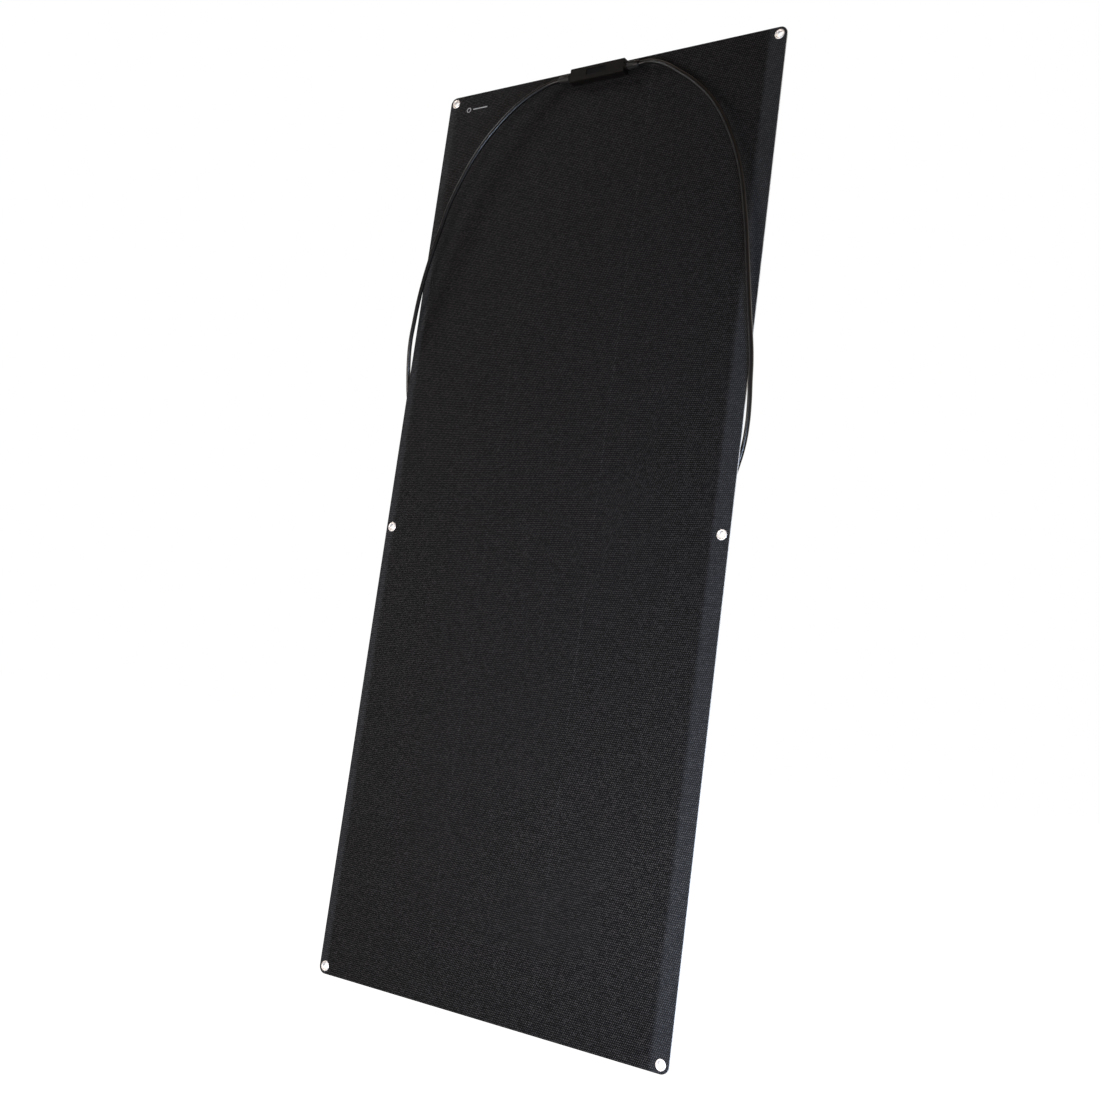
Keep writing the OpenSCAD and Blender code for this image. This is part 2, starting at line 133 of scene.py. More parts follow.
def round_cable(name, route, diameter):
    """A smooth round cable along a route from the box's centre."""
    centre = box_centre()
    curve = bpy.data.curves.new(name, "CURVE")
    curve.dimensions = "3D"
    curve.bevel_depth = 1
    curve.bevel_resolution = 6
    curve.resolution_u = 6
    curve.use_fill_caps = True
    spline = curve.splines.new("BEZIER")
    spline.bezier_points.add(len(route) - 1)
    for knot, place in zip(spline.bezier_points, route):
        knot.co = centre + Vector([number * MM for number in place])
        knot.radius = diameter / 2
        knot.handle_left_type = knot.handle_right_type = "AUTO"
    cable = bpy.data.objects.new(name, curve)
    bpy.context.collection.objects.link(cable)
    return cable


def add_leads():
    """Both leads, as round cables in place of the CAD cables."""
    made = {}
    for side, name, route, connector in ((-1, "left", LEFT_ROUTE, "plug"),
                                         (1, "right", RIGHT_ROUTE, "socket")):
        lead = round_cable(name + "_lead", route, CABLE_D)
        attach(lead, "panel")
        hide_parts(name + "_cable")
        on_it = sorted(node for node in nodes if node.startswith(connector + "_"))
        on_it.append(name + "_cable_core")
        made[name] = lead
    return made


leads = add_leads()


# ------------------------------------------------------------------ finer pieces

# What is seen for each CAD node: the node itself, or the finer piece in its place.
shown = dict(nodes)
shown.update(left_cable=leads["left"], right_cable=leads["right"])


def new_piece(name, made):
    """An object out of a bmesh, which it uses up."""
    mesh = bpy.data.meshes.new(name)
    made.to_mesh(mesh)
    made.free()
    piece = bpy.data.objects.new(name, mesh)
    bpy.context.collection.objects.link(piece)
    return piece


def stand_for(node, name, made, smooth=True):
    """Makes a piece out of a bmesh and shows it in place of a CAD node."""
    piece = new_piece(name, made)
    if smooth:
        piece.data.shade_smooth()
    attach(piece, nodes[node]["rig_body"])
    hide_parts(node)
    shown[node] = piece
    return piece


def softened(node, name, width):
    """Shows a copy of a CAD node with its sharp edges rounded by width."""
    made = bmesh.new()
    made.from_mesh(nodes[node].data)
    bmesh.ops.remove_doubles(made, verts=made.verts, dist=0.002 * MM)
    bmesh.ops.dissolve_limit(made, angle_limit=math.radians(0.5), verts=made.verts,
                             edges=made.edges)
    sharp = [edge for edge in made.edges
             if edge.is_manifold and edge.calc_face_angle() > math.radians(30)]
    bmesh.ops.bevel(made, geom=sharp, offset=width, segments=3, profile=0.5,
                    affect="EDGES", clamp_overlap=True)
    piece = stand_for(node, name, made)
    piece.modifiers.new("even_shading", "WEIGHTED_NORMAL").keep_sharp = True


def lathe(made, loop, mouth, outward, steps, ripple=None):
    """Turns a closed loop of (along, radius) points about a line that starts at mouth.

    Along is measured outward from mouth. A ripple adds to the radius at each angle.
    """
    turn = Vector((1, 0, 0)).rotation_difference(Vector(outward)).to_matrix().to_4x4()
    place = Matrix.Translation(mouth) @ turn
    rings = []
    for step in range(steps):
        angle = 2 * math.pi * step / steps
        ring = []
        for along, radius in loop:
            if ripple:
                radius += ripple(along, radius, angle)
            point = Vector((along, radius * math.cos(angle), radius * math.sin(angle)))
            ring.append(made.verts.new(place @ point))
        rings.append(ring)
    faces = []
    for step, ring in enumerate(rings):
        after = rings[(step + 1) % steps]
        for i in range(len(loop)):
            k = (i + 1) % len(loop)
            faces.append(made.faces.new((ring[i], ring[k], after[k], after[i])))
    bmesh.ops.recalc_face_normals(made, faces=faces)


def arc(centre, radius, start, end, steps):
    """Points on an arc, between two angles in degrees from the first axis."""
    angles = [math.radians(start + (end - start) * i / steps) for i in range(steps + 1)]
    return [(centre[0] + radius * math.cos(angle), centre[1] + radius * math.sin(angle))
            for angle in angles]


STRINGS = ["cell_string_left", "cell_string_middle", "cell_string_right"]
STRING_BOXES = [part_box(name) for name in STRINGS]
STRIPS = 39
STRIP_LAP = 1.3 * MM

# The film's corners and thinned rim, how far it stands out over the cells, and how
# wide its slopes are.
CORNER_R = 10 * MM
RIM = 0.25 * MM
RIM_DROP = 0.12 * MM
CELL_BULGE = 0.12 * MM
SHINGLE_STEP = 0.05 * MM
GAP_DIP = 0.04 * MM
SLOPE = 1.0 * MM

# An eyelet's radii, and the height of the middle pair.
FLANGE_R = 6.75 * MM
HOLE_R = 4.5 * MM
BARREL_R = 5.05 * MM
MIDDLE_EYELET_Z = -18 * MM


def strip_pitch():
    """How far one cell strip is from the next, and where the lowest one starts."""
    low, high = STRING_BOXES[0]
    return (high.z - low.z - STRIP_LAP) / STRIPS, low.z


def eyelet_centres():
    """The six eyelets' centres in X and Z, from the box round all their shells."""
    low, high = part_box("eyelet_shells")
    return [(x, z) for x in (low.x + FLANGE_R, high.x - FLANGE_R)
            for z in (high.z - FLANGE_R, MIDDLE_EYELET_Z, low.z + FLANGE_R)]


EYELETS = eyelet_centres()


def rounded_outline(low, high, radius):
    """A rectangle's outline in X and Z, with a quarter circle at each corner."""
    left, right = low.x + radius, high.x - radius
    bottom, top = low.z + radius, high.z - radius
    points = []
    for centre, start in (((right, top), 0), ((left, top), 90),
                          ((left, bottom), 180), ((right, bottom), 270)):
        points += arc(centre, radius, start, start + 90, 8)
    return points


def bulge(x, z):
    """How far the film stands out over the cells at a place, with a dip at each gap."""
    low = STRING_BOXES[0][0]
    high = STRING_BOXES[-1][1]
    half = SLOPE / 2
    if not (low.x + half < x < high.x - half and low.z + half < z < high.z - half):
        return 0
    for left, right in zip(STRING_BOXES, STRING_BOXES[1:]):
        if abs(x - (left[1].x + right[0].x) / 2) < half:
            return CELL_BULGE - GAP_DIP
    pitch, start = strip_pitch()
    return CELL_BULGE + SHINGLE_STEP * ((z - start) / pitch % 1)


def film_lines():
    """Where the film's grid has lines in X and in Z, so that each slope keeps its edges."""
    low = STRING_BOXES[0][0]
    high = STRING_BOXES[-1][1]
    across = {low.x - SLOPE, low.x + SLOPE, high.x - SLOPE, high.x + SLOPE}
    for left, right in zip(STRING_BOXES, STRING_BOXES[1:]):
        middle = (left[1].x + right[0].x) / 2
        across.update((middle - SLOPE, middle, middle + SLOPE))
    pitch, start = strip_pitch()
    up = {low.z - SLOPE, low.z + SLOPE, high.z - SLOPE, high.z + SLOPE}
    for strip in range(1, STRIPS + 1):
        joint = start + strip * pitch
        if joint < high.z - 2 * SLOPE:
            up.update((joint - 0.7 * SLOPE, joint + 0.3 * SLOPE))
    return sorted(across), sorted(up)


def film_loops(low, high):
    """The film's outline, the inner edge of its rim, and its six holes, in X and Z."""
    inset = Vector((RIM, 0, RIM))
    loops = [rounded_outline(low, high, CORNER_R),
             rounded_outline(low + inset, high - inset, CORNER_R - RIM)]
    for eye in EYELETS:
        loops.append(arc(eye, BARREL_R, 0, 360 * 31 / 32, 31))
    return loops


def grid_points(low, high):
    """Where the film's grid lines cross, clear of its corners and its holes."""
    across, up = film_lines()
    return [(x, z) for x in across for z in up
            if low.z + CORNER_R < z < high.z - CORNER_R
            and all(math.dist((x, z), eye) > BARREL_R + SLOPE for eye in EYELETS)]


def rounded_off(x, z):
    """A place as a key that stays the same through small errors."""
    return round(x, 7), round(z, 7)


def close_sides(made, pair):
    """Joins two matching sheets along their open edges; pair gives each point's twin."""
    walled = set()
    for edge in [edge for edge in made.edges if edge.is_boundary]:
        a, b = edge.verts
        wall = frozenset((a, b, pair[a], pair[b]))
        if wall not in walled:
            walled.add(wall)
            made.faces.new((a, b, pair[b], pair[a]))


def make_film():
    """The embossed film, with the cells' edges and steps showing through it."""
    low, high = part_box("front_film")
    loops = film_loops(low, high)
    points = []
    edges = []
    for loop in loops:
        first = len(points)
        points += loop
        edges += [(first + i, first + (i + 1) % len(loop)) for i in range(len(loop))]
    points += grid_points(low, high)
    flat, _, faces, _, _, _ = delaunay_2d_cdt([Vector(p) for p in points], edges, [], 0, 1e-7)
    on_rim = {rounded_off(x, z) for x, z in loops[0]}
    made = bmesh.new()
    front = []
    back = []
    for x, z in flat:
        drop = RIM_DROP if rounded_off(x, z) in on_rim else 0
        front.append(made.verts.new((x, low.y + drop - bulge(x, z), z)))
        back.append(made.verts.new((x, high.y, z)))
    for face in faces:
        middle = sum((flat[i] for i in face), Vector((0, 0))) / len(face)
        if all(math.dist(middle, eye) >= BARREL_R for eye in EYELETS):
            made.faces.new([front[i] for i in face])
            made.faces.new([back[i] for i in reversed(face)])
    close_sides(made, dict(zip(front + back, back + front)))
    bmesh.ops.recalc_face_normals(made, faces=made.faces)
    stand_for("front_film", "film_skin", made, smooth=False)


def make_eyelets():
    """Six nickel shells: a barrel, a rolled flange in front and a curl behind."""
    back_y = 0.8 * MM
    depth = back_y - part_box("front_film")[0].y
    flange_mid = (HOLE_R + FLANGE_R) / 2
    outer_r = BARREL_R - 0.05 * MM

    # Up the hole, over the roll, back along the barrel, and round the curl.
    loop = [(0, HOLE_R + 0.1 * MM), (depth, HOLE_R)]
    loop += arc((depth - 0.45 * MM, flange_mid), 1.35 * MM, -56, 56, 14)
    loop += [(depth + 0.22 * MM, FLANGE_R), (depth + 0.05 * MM, FLANGE_R - 0.05 * MM),
             (depth + 0.02 * MM, outer_r), (0, outer_r), (0, HOLE_R + 1.85 * MM)]
    loop += arc((0, HOLE_R + 0.95 * MM), 0.9 * MM, 100, 250, 8)
    made = bmesh.new()
    for x, z in EYELETS:
        lathe(made, loop, (x, back_y, z), (0, -1, 0), 64)
    stand_for("eyelet_shells", "rolled_eyelets", made)


def make_gland_nuts():
    """Ribbed cap nuts with a rounded nose, one at each end of the box."""
    nut_r = 5.4 * MM
    rib_height = 0.4 * MM
    ribs = 10
    bore_r = 3.35 * MM
    thread_r = 4.85 * MM

    def ripple(along, radius, angle):
        if radius < nut_r - 0.1 * MM:
            return 0
        grip = min(1, max(0, (along - 0.6 * MM) / MM), max(0, (10.4 * MM - along) / MM))
        return rib_height * grip * max(0, math.cos(ribs * angle))

    outside = [(0, nut_r - 0.3 * MM), (0.3 * MM, nut_r)]
    outside += [(step * MM, nut_r) for step in (0.6, 1.1, 1.6, 4, 7, 9.4, 9.9, 10.4, 10.6)]
    nose = [(10.6 * MM + 6 * MM * math.sin(angle), 4.4 * MM + MM * math.cos(angle))
            for angle in [math.pi / 2 * i / 8 for i in range(1, 8)]]
    inside = [(16.6 * MM, 4.1 * MM), (16.4 * MM, 3.6 * MM), (15.8 * MM, bore_r),
              (9.4 * MM, bore_r), (9.4 * MM, thread_r), (0, thread_r)]
    for node, side in (("left_gland_nut", -1), ("right_gland_nut", 1)):
        low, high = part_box(node)
        centre = (low + high) / 2
        inner_end = (high.x if side < 0 else low.x, centre.y, centre.z)
        made = bmesh.new()
        lathe(made, outside + nose + inside, inner_end, (side, 0, 0), 120, ripple)
        piece = stand_for(node, node.replace("_nut", "_cap"), made)
        piece.data.set_sharp_from_angle(angle=math.radians(40))


def make_cap_nuts():
    """Tapered, ribbed cap nuts on the two connectors."""
    nut_r = 8.2 * MM
    rib_height = 0.6 * MM
    ribs = 12
    bore_r = 3.35 * MM
    thread_r = 7.05 * MM

    def ripple(along, radius, angle):
        if radius < nut_r - 0.2 * MM:
            return 0
        grip = min(1, max(0, (along - 8 * MM) / (2 * MM)))
        return rib_height * grip * max(0, math.cos(ribs * angle))

    outside = [(0.2 * MM, 4.4 * MM), (0, 4.8 * MM), (0.3 * MM, 5.3 * MM), (MM, 6 * MM),
               (3 * MM, 6.6 * MM), (5 * MM, 7.2 * MM), (7 * MM, 7.8 * MM)]
    outside += [(step * MM, nut_r) for step in (8, 8.6, 9.2, 10, 13, 17, 21.5)]
    inside = [(21.9 * MM, 8.1 * MM), (22 * MM, 7.9 * MM), (22 * MM, thread_r),
              (7.5 * MM, thread_r), (7.5 * MM, bore_r), (0.6 * MM, bore_r),
              (0.2 * MM, 3.6 * MM)]
    for node in ("plug_nut", "socket_nut"):
        low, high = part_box(node)
        centre = (low + high) / 2
        made = bmesh.new()
        lathe(made, outside + inside, (centre.x, centre.y, high.z), (0, 0, -1), 144, ripple)
        piece = stand_for(node, node.replace("_nut", "_cap"), made)
        piece.data.set_sharp_from_angle(angle=math.radians(40))


def make_mark():
    """A small generic print in the top left corner: a ring and a bar."""
    low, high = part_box("front_film")
    face = low.y
    line_z = high.z - 24 * MM
    thick = 0.05 * MM
    made = bmesh.new()
    ring = [(0, 2.6 * MM), (thick, 2.6 * MM), (thick, 3.9 * MM), (0, 3.9 * MM)]
    lathe(made, ring, (low.x + 36 * MM, face, line_z), (0, -1, 0), 48)
    bar = bmesh.ops.create_cube(made, size=1)["verts"]
    bmesh.ops.scale(made, vec=(26 * MM, 2 * thick, 1.6 * MM), verts=bar)
    bmesh.ops.translate(made, vec=(low.x + 57 * MM, face, line_z), verts=bar)
    mark = new_piece("corner_mark", made)
    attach(mark, "panel")
    return mark


make_film()
make_eyelets()
make_gland_nuts()
make_cap_nuts()
softened("box_base", "base_shell", 0.35 * MM)
softened("box_lid", "lid_shell", 0.3 * MM)
softened("plug_body", "plug_shell", 0.25 * MM)
softened("socket_body", "socket_shell", 0.25 * MM)
corner_mark = make_mark()


# ------------------------------------------------------------------ finishes

class Finish:
    """A Principled material, and short calls for the nodes that feed it.

    Its extra values are named like the sockets, with _ for each space.
    """

    def __init__(self, name, colour, roughness, **values):
        self.material = bpy.data.materials.new(name)
        self.material.use_nodes = True
        self.tree = self.material.node_tree
        self.surface = self.tree.nodes["Principled BSDF"]
        self.feed("Base Color", (*colour, 1))
        self.feed("Roughness", roughness)
        for socket, value in values.items():
            self.feed(socket.replace("_", " "), value)
        self.place = self.node("ShaderNodeTexCoord").outputs["Object"]

    def node(self, kind, **settings):
        """A new node with some of its settings changed."""
        made = self.tree.nodes.new(kind)
        for name, value in settings.items():
            setattr(made, name, value)
        return made

    def put(self, value, socket):
        """Links an output to a socket, or sets the socket to a plain value."""
        if isinstance(value, bpy.types.NodeSocket):
            self.tree.links.new(value, socket)
        else:
            socket.default_value = value

    def feed(self, name, value):
        """Sets or links one socket of the surface."""
        self.put(value, self.surface.inputs[name])

    def maths(self, operation, *values):
        """One step of arithmetic on outputs or plain numbers."""
        made = self.node("ShaderNodeMath", operation=operation)
        for value, socket in zip(values, made.inputs):
            self.put(value, socket)
        return made.outputs[0]

    def axes(self):
        """The place on the object as X, Y and Z."""
        made = self.node("ShaderNodeSeparateXYZ")
        self.put(self.place, made.inputs[0])
        return made.outputs

    def scaled(self, scale):
        """The place on the object, multiplied by three numbers."""
        made = self.node("ShaderNodeVectorMath", operation="MULTIPLY")
        self.put(self.place, made.inputs[0])
        made.inputs[1].default_value = scale
        return made.outputs[0]

    def noise(self, size, detail=3.0, place=None):
        """Cloudy noise from 0 to 1 whose patches are about size metres wide."""
        made = self.node("ShaderNodeTexNoise")
        self.put(place or self.place, made.inputs["Vector"])
        made.inputs["Scale"].default_value = 1 / size
        made.inputs["Detail"].default_value = detail
        made.inputs["Roughness"].default_value = 0.5
        return made.outputs["Fac"]

    def ramp(self, value, low, high, out_low=0.0, out_high=1.0):
        """Maps value from low..high to out_low..out_high smoothly, and holds it at the ends."""
        made = self.node("ShaderNodeMapRange", interpolation_type="SMOOTHSTEP")
        for socket, number in zip(made.inputs, (value, low, high, out_low, out_high)):
            self.put(number, socket)
        return made.outputs[0]

    def wave(self, value, period):
        """A cosine of value, from -1 to 1, that repeats every period metres."""
        return self.maths("COSINE", self.maths("MULTIPLY", value, 2 * math.pi / period))

    def blend(self, share, first, second):
        """Mixes two colours or outputs, by the share of the second."""
        made = self.node("ShaderNodeMix", data_type="RGBA")
        self.put(share, made.inputs["Factor"])
        for socket, colour in ((made.inputs["A"], first), (made.inputs["B"], second)):
            self.put(colour if isinstance(colour, bpy.types.NodeSocket) else (*colour, 1), socket)
        return made.outputs["Result"]

    def bump(self, height, depth):
        """A normal from a height of 0 to 1 that stands depth metres tall."""
        made = self.node("ShaderNodeBump")
        made.inputs["Strength"].default_value = 1.0
        made.inputs["Distance"].default_value = depth
        self.put(height, made.inputs["Height"])
        return made.outputs[0]

    def cover(self, *names):
        """Puts the material on what is shown for these CAD nodes, or on objects."""
        for name in names:
            piece = shown[name] if isinstance(name, str) else name
            piece.data.materials.clear()
            piece.data.materials.append(self.material)


def grained(name, dark, light, patch, grain, depth, rough, stretch=(1, 1, 1), **sockets):
    """A surface with cloudy colour, and a fine grain in its gloss and its relief.

    Clouds are patch wide and run from dark to light. The grain is grain wide and depth
    tall, and its roughness runs between the two numbers of rough.
    """
    finish = Finish(name, dark, rough[0], **sockets)
    place = finish.scaled(stretch)
    clouds = finish.noise(patch, 4, place)
    fine = finish.noise(grain, 3, place)
    finish.feed("Base Color", finish.blend(finish.ramp(clouds, 0.3, 0.7), dark, light))
    finish.feed("Roughness", finish.ramp(fine, 0.3, 0.7, *rough))
    finish.feed("Normal", finish.bump(fine, depth))
    return finish


def jacket_finish():
    """Glossy cross-linked jacket with a faint drawn texture."""
    # The jacket's faint warm tint is partly a painted brown reflection.
    finish = grained("glossy_jacket", (0.0045, 0.0038, 0.0033), (0.0075, 0.0062, 0.0054),
                     25 * MM, 1.4 * MM, 0.05 * MM, (0.28, 0.40), Specular_IOR_Level=0.35)
    finish.cover("left_cable", "right_cable")


def embossing(finish, across, up):
    """Staggered pillows with grooves between their rows, from 0 to 1.

    Pillows repeat every across and up metres, so that rows are half of up apart.
    """
    pillow_share = 0.74
    x, _, z = finish.axes()
    pillows = finish.maths("MULTIPLY", finish.wave(x, across), finish.wave(z, up))
    rows = finish.wave(z, up / 2)
    both = finish.maths("ADD", finish.maths("MULTIPLY", pillows, pillow_share),
                        finish.maths("MULTIPLY", rows, 1 - pillow_share))
    return finish.maths("MULTIPLY_ADD", both, 0.5, 0.5)


def band(finish, value, low, high, soft):
    """1 where value lies between low and high, with edges soft metres wide."""
    rise = finish.ramp(value, low - soft / 2, low + soft / 2)
    fall = finish.ramp(value, high - soft / 2, high + soft / 2, 1.0, 0.0)
    return finish.maths("MULTIPLY", rise, fall)


def over_cells(finish, margin, soft):
    """1 over the cells and a margin beside them, and 0 over the side borders."""
    x, _, _ = finish.axes()
    return band(finish, x, STRING_BOXES[0][0].x - margin, STRING_BOXES[-1][1].x + margin, soft)


def over_gaps(finish, width, shares):
    """A line along the middle of each gap between the strings, as strong as its share."""
    x, _, _ = finish.axes()
    gaps = []
    for left, right, share in zip(STRING_BOXES, STRING_BOXES[1:], shares):
        middle = (left[1].x + right[0].x) / 2
        line = band(finish, x, middle - width / 2, middle + width / 2, width / 2)
        gaps.append(finish.maths("MULTIPLY", line, share))
    return finish.maths("ADD", *gaps)


def film_finish():
    """Near black film, embossed with a weave, darker over the cells than at the borders, with
    painted shade in the weave's grooves and a painted sheen on its pillows.
    """
    finish = Finish("embossed_film", (0.01, 0.01, 0.01), 0.45, Specular_IOR_Level=0.12)

    # The weave is 0 in the grooves and 1 on the pillows, which the threads break up.
    relief = embossing(finish, 2.44 * MM, 5.13 * MM)
    threads = finish.noise(1.6 * MM, 2, finish.scaled((0.4, 1, 1)))
    weave = finish.ramp(finish.maths("MULTIPLY_ADD", threads, 1.0, relief), 0.98, 1.36)

    # Its colours: lighter at the borders and along the gaps. The weave's grooves are painted
    # nearly black as painted shade, and its pillow tops lighter as a painted sheen.
    cells = over_cells(finish, 4 * MM, 8 * MM)
    gaps = over_gaps(finish, 1.6 * MM, (0.6, 1.0))
    patchy = finish.noise(60 * MM, 4)
    at_border = finish.blend(patchy, (0.042, 0.042, 0.044), (0.049, 0.049, 0.052))
    at_cells = finish.blend(patchy, (0.0285, 0.0252, 0.0252), (0.0350, 0.0312, 0.0310))
    with_gaps = finish.blend(gaps, at_cells, (0.052, 0.048, 0.048))
    raised = finish.blend(cells, at_border, with_gaps)
    # Painted shade: the nearly black colour of the weave's grooves.
    sunk = finish.blend(cells, (0.011, 0.011, 0.0115), (0.0003, 0.0003, 0.0003))
    # The weave paints shade into the grooves and a sheen onto the pillow tops.
    finish.feed("Base Color", finish.blend(weave, sunk, raised))
    finish.feed("Normal", finish.bump(weave, 0.12 * MM))
    finish.feed("Roughness", finish.maths("MULTIPLY_ADD", weave, -0.4, 0.75))
    finish.cover("front_film")


def mark_finish():
    """Pale grey print with a worn, uneven tone."""
    finish = grained("grey_print", (0.30, 0.30, 0.30), (0.42, 0.42, 0.42),
                     1.2 * MM, 0.5 * MM, 0.02 * MM, (0.5, 0.7))
    finish.cover(corner_mark)


def board_finish():
    """Off-white glass fibre laminate: a plain weave under a satin resin face."""
    finish = Finish("glass_laminate", (0.7, 0.7, 0.68), 0.4, Coat_Weight=0.15,
                    Coat_Roughness=0.3)
    x, _, z = finish.axes()
    tow = 1.6 * MM
    checks = finish.maths("MULTIPLY", finish.wave(x, tow), finish.wave(z, tow))
    fibres = finish.noise(0.35 * MM, 2)
    clouds = finish.ramp(finish.noise(90 * MM, 4), 0.3, 0.7)
    tone = finish.blend(clouds, (0.70, 0.70, 0.68), (0.75, 0.75, 0.725))
    weave = finish.maths("MULTIPLY_ADD", checks, 0.5, 0.5)
    crests = finish.ramp(weave, 0.2, 0.8, 0, 0.25)
    finish.feed("Base Color", finish.blend(crests, tone, (0.80, 0.81, 0.79)))
    height = finish.maths("MULTIPLY_ADD", fibres, 0.3, finish.maths("MULTIPLY", weave, 0.7))
    finish.feed("Normal", finish.bump(height, 0.06 * MM))
    finish.feed("Roughness", finish.ramp(fibres, 0.3, 0.7, 0.32, 0.5))
    finish.cover("back_board")


def cell_finish():
    """Dark blue coated silicon with fine silver fingers that run up each strip."""
    finish = Finish("coated_silicon", (0.006, 0.008, 0.02), 0.25, Coat_Weight=0.3,
                    Coat_Roughness=0.15)
    x, _, _ = finish.axes()
    fingers = finish.ramp(finish.wave(x, 1.5 * MM), 0.97, 0.99)
    clouds = finish.ramp(finish.noise(40 * MM, 3), 0.3, 0.7)
    silicon = finish.blend(clouds, (0.004, 0.006, 0.016), (0.008, 0.011, 0.028))
    finish.feed("Base Color", finish.blend(fingers, silicon, (0.45, 0.45, 0.44)))
    finish.feed("Roughness", finish.ramp(finish.noise(0.6 * MM, 2), 0.3, 0.7, 0.18, 0.32))
    finish.feed("Normal", finish.bump(fingers, 0.015 * MM))
    finish.cover(*STRINGS)


def diode_finish():
    """Black moulded body with a pale band at one end, and bright leads."""
    finish = Finish("banded_diode", (0.02, 0.02, 0.02), 0.45)
    low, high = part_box("bypass_diode")
    middle = (low.x + high.x) / 2
    x, _, _ = finish.axes()
    body = band(finish, x, middle - 4.8 * MM, middle + 4.8 * MM, 0.1 * MM)
    stripe = band(finish, x, middle + 2.6 * MM, middle + 3.8 * MM, 0.1 * MM)
    fine = finish.noise(0.4 * MM, 3)
    moulded = finish.blend(fine, (0.015, 0.015, 0.016), (0.03, 0.03, 0.03))
    painted = finish.blend(stripe, moulded, (0.55, 0.55, 0.54))
    finish.feed("Base Color", finish.blend(body, (0.7, 0.69, 0.66), painted))
    finish.feed("Metallic", finish.maths("SUBTRACT", 1.0, body))
    finish.feed("Roughness", finish.ramp(fine, 0.3, 0.7, 0.35, 0.55))
    finish.feed("Normal", finish.bump(fine, 0.02 * MM))
    finish.cover("bypass_diode")


def strand_finish():
    """Stranded copper: fine wires that lie in a slow twist, with painted shade between the wires.
    """
    finish = Finish("copper_strand", (0.8, 0.5, 0.34), 0.3, Metallic=1.0)
    x, y, z = finish.axes()
    twist = finish.maths("ADD", finish.maths("ADD", x, z), finish.maths("MULTIPLY", y, 3.0))
    wires = finish.maths("MULTIPLY_ADD", finish.wave(twist, 0.5 * MM), 0.5, 0.5)
    # Painted shade: the copper turns darker in the troughs between the wires.
    finish.feed("Base Color", finish.blend(wires, (0.45, 0.24, 0.14), (0.86, 0.58, 0.42)))
    finish.feed("Roughness", finish.ramp(finish.noise(0.5 * MM, 2), 0.3, 0.7, 0.22, 0.4))
    finish.feed("Normal", finish.bump(wires, 0.12 * MM))
    finish.cover("left_cable_core", "right_cable_core")


def lid_finish():
    """The box's grained moulding, with a darker sunk field."""
    finish = grained("moulded_lid", (0.0052, 0.0037, 0.0028), (0.0068, 0.0050, 0.0039),
                     14 * MM, 0.35 * MM, 0.045 * MM, (0.5, 0.68), Specular_IOR_Level=0.1)
    low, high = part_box("box_lid")
    field_x = (low.x + high.x) / 2 - MM
    field_z = (low.z + high.z) / 2 + MM
    soft = 0.2 * MM
    x, y, z = finish.axes()
    sunk = finish.ramp(y, low.y + 0.1 * MM, low.y + 0.4 * MM)
    inside = finish.maths("MULTIPLY",
                          band(finish, x, field_x - 17 * MM, field_x + 17 * MM, soft),
                          band(finish, z, field_z - 5 * MM, field_z + 5 * MM, soft))
    field = finish.maths("MULTIPLY", sunk, inside)
    moulding = finish.surface.inputs["Base Color"].links[0].from_socket
    finish.feed("Base Color", finish.blend(field, moulding, (0.0008, 0.0006, 0.0005)))
    finish.cover("box_lid")


def plastic_finishes():
    """Mouldings, rubber, tape and encapsulant."""
    # The box's base is a darker copy of the lid's moulding: painted shade for its underside and
    # ends.
    box = grained("moulded_box_painted_shade", (0.0040, 0.0029, 0.0022), (0.0054, 0.0040, 0.0031),
                  14 * MM, 0.35 * MM, 0.045 * MM, (0.5, 0.68), Specular_IOR_Level=0.1)
    box.cover("box_base")
    gland = grained("satin_gland", (0.010, 0.0087, 0.0076), (0.015, 0.0130, 0.0114),
                    8 * MM, 0.3 * MM, 0.02 * MM, (0.34, 0.48), Specular_IOR_Level=0.25)
    gland.cover("left_gland_nut", "right_gland_nut")
    connector = grained("connector_black", (0.010, 0.010, 0.0105), (0.017, 0.017, 0.017),
                        9 * MM, 0.3 * MM, 0.03 * MM, (0.32, 0.5))
    connector.cover("plug_body", "plug_nut", "socket_body", "socket_nut")
    rubber = grained("soft_rubber", (0.012, 0.012, 0.012), (0.022, 0.021, 0.020),
                     6 * MM, 0.25 * MM, 0.03 * MM, (0.6, 0.8))
    rubber.cover("box_seal", "left_gland_seal", "right_gland_seal", "plug_seal",
                 "socket_seal", "socket_ring")
    tape = grained("foam_tape", (0.03, 0.03, 0.03), (0.06, 0.06, 0.058),
                   5 * MM, 0.5 * MM, 0.15 * MM, (0.8, 0.95))
    tape.cover("box_pad")
    encapsulant = grained("cast_encapsulant", (0.10, 0.10, 0.105), (0.14, 0.14, 0.145),
                          30 * MM, 1.2 * MM, 0.03 * MM, (0.25, 0.4), Transmission_Weight=0.4)
    encapsulant.cover("front_encapsulant", "rear_encapsulant")


